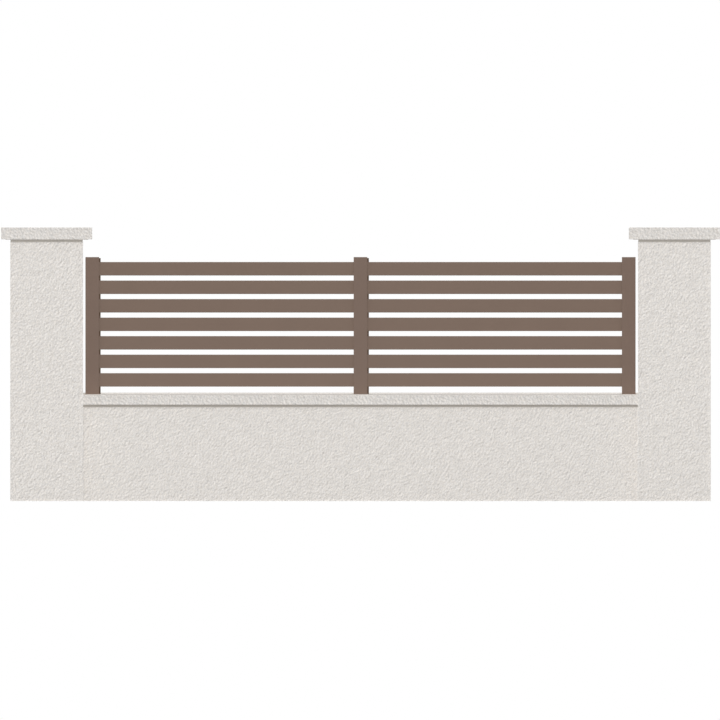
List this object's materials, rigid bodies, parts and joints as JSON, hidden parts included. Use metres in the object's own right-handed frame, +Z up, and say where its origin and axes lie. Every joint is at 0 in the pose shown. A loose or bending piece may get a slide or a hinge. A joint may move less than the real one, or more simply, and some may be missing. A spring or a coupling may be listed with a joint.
{
  "type": "slatted fence",
  "caption": "Horizontal aluminium slat fence in two bays on a low rendered wall with coping, between rendered pillars with flat caps.",
  "frame": {"origin": "on the ground, in the middle of the fence", "axes": "+X along the fence to the right as seen from the front, +Z up, the front faces -Y"},
  "size_m": [3.94, 0.5, 1.5],
  "materials": {
    "render": "off-white roughcast render, matt",
    "cast_stone": "off-white textured cast stone, matt",
    "mortar": "grey mortar, raked",
    "powder_coat": "fine textured powder coat in taupe brown",
    "spacer_plastic": "dark brown moulded plastic, matt"
  },
  "bodies": {
    "root": {"low_wall": "render", "coping_bed": "mortar", "coping": "cast_stone", "left_pillar": "render", "left_cap_bed": "mortar", "left_pillar_cap": "cast_stone", "right_pillar": "render", "right_cap_bed": "mortar", "right_pillar_cap": "cast_stone", "left_post": "powder_coat", "left_post_grout": "mortar", "left_post_top": "powder_coat", "middle_post": "powder_coat", "middle_post_grout": "mortar", "middle_post_top": "powder_coat", "right_post": "powder_coat", "right_post_grout": "mortar", "right_post_top": "powder_coat", "left_bay_left_spacers": "spacer_plastic", "left_bay_right_spacers": "spacer_plastic", "right_bay_left_spacers": "spacer_plastic", "right_bay_right_spacers": "spacer_plastic", "left_slat_1": "powder_coat", "left_slat_2": "powder_coat", "left_slat_3": "powder_coat", "left_slat_4": "powder_coat", "left_slat_5": "powder_coat", "left_slat_6": "powder_coat", "left_slat_7": "powder_coat", "right_slat_1": "powder_coat", "right_slat_2": "powder_coat", "right_slat_3": "powder_coat", "right_slat_4": "powder_coat", "right_slat_5": "powder_coat", "right_slat_6": "powder_coat", "right_slat_7": "powder_coat"}
  },
  "joints": []
}
